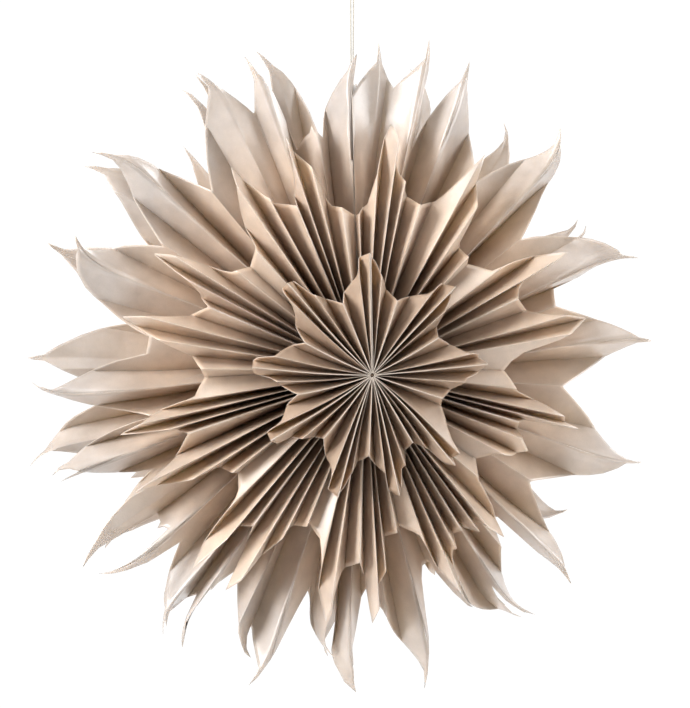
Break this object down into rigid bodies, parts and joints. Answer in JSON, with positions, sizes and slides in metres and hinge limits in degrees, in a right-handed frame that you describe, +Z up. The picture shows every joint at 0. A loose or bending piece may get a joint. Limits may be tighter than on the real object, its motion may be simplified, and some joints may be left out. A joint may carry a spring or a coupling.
{
  "type": "hanging paper star",
  "caption": "Hanging paper star of pleated paper bags fanned round a spine, with curled outer tips, a middle ring, a small rosette and a cord.",
  "frame": {"origin": "inside top of the cord's loop, where the hook bears", "axes": "+Z up along the cord, -Y out of the star's front along its spine, +X to the right seen from the front"},
  "size_m": [0.5993, 0.2, 0.6861],
  "materials": {
    "pleated_paper": "satin coated kraft paper, pleated",
    "leaf_paper": "two glued sheets of the same paper",
    "glue_line": "dried paper glue",
    "cotton_cord": "off-white twisted cotton"
  },
  "bodies": {
    "hanger": {"cord_loop": "cotton_cord", "loop_knot": "cotton_cord"},
    "bag_0": {"hanging_cord": "cotton_cord", "stop_knot": "cotton_cord", "spine_glue": "glue_line", "leaf_0": "leaf_paper", "front_pleats_0": "pleated_paper", "rear_pleats_0": "pleated_paper"},
    "bag_1": {"leaf_1": "leaf_paper", "front_pleats_1": "pleated_paper", "rear_pleats_1": "pleated_paper"},
    "bag_2": {"leaf_2": "leaf_paper", "front_pleats_2": "pleated_paper", "rear_pleats_2": "pleated_paper"},
    "bag_3": {"leaf_3": "leaf_paper", "front_pleats_3": "pleated_paper", "rear_pleats_3": "pleated_paper"},
    "bag_4": {"leaf_4": "leaf_paper", "front_pleats_4": "pleated_paper", "rear_pleats_4": "pleated_paper"},
    "bag_5": {"leaf_5": "leaf_paper", "front_pleats_5": "pleated_paper", "rear_pleats_5": "pleated_paper"},
    "bag_6": {"leaf_6": "leaf_paper", "front_pleats_6": "pleated_paper", "rear_pleats_6": "pleated_paper"},
    "bag_7": {"leaf_7": "leaf_paper", "front_pleats_7": "pleated_paper", "rear_pleats_7": "pleated_paper"},
    "bag_8": {"leaf_8": "leaf_paper", "front_pleats_8": "pleated_paper", "rear_pleats_8": "pleated_paper"},
    "bag_9": {"leaf_9": "leaf_paper", "front_pleats_9": "pleated_paper", "rear_pleats_9": "pleated_paper"},
    "bag_10": {"leaf_10": "leaf_paper", "front_pleats_10": "pleated_paper", "rear_pleats_10": "pleated_paper"},
    "bag_11": {"leaf_11": "leaf_paper", "front_pleats_11": "pleated_paper", "rear_pleats_11": "pleated_paper"},
    "bag_12": {"leaf_12": "leaf_paper", "front_pleats_12": "pleated_paper", "rear_pleats_12": "pleated_paper"},
    "bag_13": {"leaf_13": "leaf_paper", "front_pleats_13": "pleated_paper", "rear_pleats_13": "pleated_paper"},
    "bag_14": {"leaf_14": "leaf_paper", "front_pleats_14": "pleated_paper", "rear_pleats_14": "pleated_paper"},
    "bag_15": {"leaf_15": "leaf_paper", "front_pleats_15": "pleated_paper", "rear_pleats_15": "pleated_paper"},
    "bag_16": {"leaf_16": "leaf_paper", "front_pleats_16": "pleated_paper", "rear_pleats_16": "pleated_paper"},
    "bag_17": {"leaf_17": "leaf_paper", "front_pleats_17": "pleated_paper", "rear_pleats_17": "pleated_paper"},
    "end_leaf": {"leaf_18": "leaf_paper"}
  },
  "joints": [
    {"name": "turn_on_cord", "type": "hinge", "parent": "hanger", "child": "bag_0", "pos_m": [0, 0, -0.03], "axis": [0, 0, 1], "continuous": true},
    {"name": "fold_0", "type": "hinge", "parent": "bag_0", "child": "bag_1", "pos_m": [0, 0, -0.385], "axis": [0, -1, 0], "range_deg": [-20, 0], "deforming": ["front_pleats_0", "rear_pleats_0"]},
    {"name": "fold_1", "type": "hinge", "parent": "bag_1", "child": "bag_2", "pos_m": [0, 0, -0.385], "axis": [0, -1, 0], "range_deg": [-22.52, 0], "deforming": ["front_pleats_1", "rear_pleats_1"]},
    {"name": "fold_2", "type": "hinge", "parent": "bag_2", "child": "bag_3", "pos_m": [0, 0, -0.385], "axis": [0, -1, 0], "range_deg": [-19.52, 0], "deforming": ["front_pleats_2", "rear_pleats_2"]},
    {"name": "fold_3", "type": "hinge", "parent": "bag_3", "child": "bag_4", "pos_m": [0, 0, -0.385], "axis": [0, -1, 0], "range_deg": [-20.52, 0], "deforming": ["front_pleats_3", "rear_pleats_3"]},
    {"name": "fold_4", "type": "hinge", "parent": "bag_4", "child": "bag_5", "pos_m": [0, 0, -0.385], "axis": [0, -1, 0], "range_deg": [-17.52, 0], "deforming": ["front_pleats_4", "rear_pleats_4"]},
    {"name": "fold_5", "type": "hinge", "parent": "bag_5", "child": "bag_6", "pos_m": [0, 0, -0.385], "axis": [0, -1, 0], "range_deg": [-16.52, 0], "deforming": ["front_pleats_5", "rear_pleats_5"]},
    {"name": "fold_6", "type": "hinge", "parent": "bag_6", "child": "bag_7", "pos_m": [0, 0, -0.385], "axis": [0, -1, 0], "range_deg": [-16.52, 0], "deforming": ["front_pleats_6", "rear_pleats_6"]},
    {"name": "fold_7", "type": "hinge", "parent": "bag_7", "child": "bag_8", "pos_m": [0, 0, -0.385], "axis": [0, -1, 0], "range_deg": [-16.52, 0], "deforming": ["front_pleats_7", "rear_pleats_7"]},
    {"name": "fold_8", "type": "hinge", "parent": "bag_8", "child": "bag_9", "pos_m": [0, 0, -0.385], "axis": [0, -1, 0], "range_deg": [-14.52, 0], "deforming": ["front_pleats_8", "rear_pleats_8"]},
    {"name": "fold_9", "type": "hinge", "parent": "bag_9", "child": "bag_10", "pos_m": [0, 0, -0.385], "axis": [0, -1, 0], "range_deg": [-14.52, 0], "deforming": ["front_pleats_9", "rear_pleats_9"]},
    {"name": "fold_10", "type": "hinge", "parent": "bag_10", "child": "bag_11", "pos_m": [0, 0, -0.385], "axis": [0, -1, 0], "range_deg": [-16.52, 0], "deforming": ["front_pleats_10", "rear_pleats_10"]},
    {"name": "fold_11", "type": "hinge", "parent": "bag_11", "child": "bag_12", "pos_m": [0, 0, -0.385], "axis": [0, -1, 0], "range_deg": [-15.52, 0], "deforming": ["front_pleats_11", "rear_pleats_11"]},
    {"name": "fold_12", "type": "hinge", "parent": "bag_12", "child": "bag_13", "pos_m": [0, 0, -0.385], "axis": [0, -1, 0], "range_deg": [-20.52, 0], "deforming": ["front_pleats_12", "rear_pleats_12"]},
    {"name": "fold_13", "type": "hinge", "parent": "bag_13", "child": "bag_14", "pos_m": [0, 0, -0.385], "axis": [0, -1, 0], "range_deg": [-21.52, 0], "deforming": ["front_pleats_13", "rear_pleats_13"]},
    {"name": "fold_14", "type": "hinge", "parent": "bag_14", "child": "bag_15", "pos_m": [0, 0, -0.385], "axis": [0, -1, 0], "range_deg": [-20.52, 0], "deforming": ["front_pleats_14", "rear_pleats_14"]},
    {"name": "fold_15", "type": "hinge", "parent": "bag_15", "child": "bag_16", "pos_m": [0, 0, -0.385], "axis": [0, -1, 0], "range_deg": [-19.52, 0], "deforming": ["front_pleats_15", "rear_pleats_15"]},
    {"name": "fold_16", "type": "hinge", "parent": "bag_16", "child": "bag_17", "pos_m": [0, 0, -0.385], "axis": [0, -1, 0], "range_deg": [-21.52, 0], "deforming": ["front_pleats_16", "rear_pleats_16"]},
    {"name": "fold_17", "type": "hinge", "parent": "bag_17", "child": "end_leaf", "pos_m": [0, 0, -0.385], "axis": [0, -1, 0], "range_deg": [-18.02, 0], "deforming": ["front_pleats_17", "rear_pleats_17"]}
  ],
  "couplings": [
    {"joint": "fold_1", "follows": "fold_0", "ratio": 1.125},
    {"joint": "fold_2", "follows": "fold_0", "ratio": 0.975},
    {"joint": "fold_3", "follows": "fold_0", "ratio": 1.025},
    {"joint": "fold_4", "follows": "fold_0", "ratio": 0.875},
    {"joint": "fold_5", "follows": "fold_0", "ratio": 0.825},
    {"joint": "fold_6", "follows": "fold_0", "ratio": 0.825},
    {"joint": "fold_7", "follows": "fold_0", "ratio": 0.825},
    {"joint": "fold_8", "follows": "fold_0", "ratio": 0.725},
    {"joint": "fold_9", "follows": "fold_0", "ratio": 0.725},
    {"joint": "fold_10", "follows": "fold_0", "ratio": 0.825},
    {"joint": "fold_11", "follows": "fold_0", "ratio": 0.775},
    {"joint": "fold_12", "follows": "fold_0", "ratio": 1.025},
    {"joint": "fold_13", "follows": "fold_0", "ratio": 1.075},
    {"joint": "fold_14", "follows": "fold_0", "ratio": 1.025},
    {"joint": "fold_15", "follows": "fold_0", "ratio": 0.975},
    {"joint": "fold_16", "follows": "fold_0", "ratio": 1.075},
    {"joint": "fold_17", "follows": "fold_0", "ratio": 0.9}
  ]
}
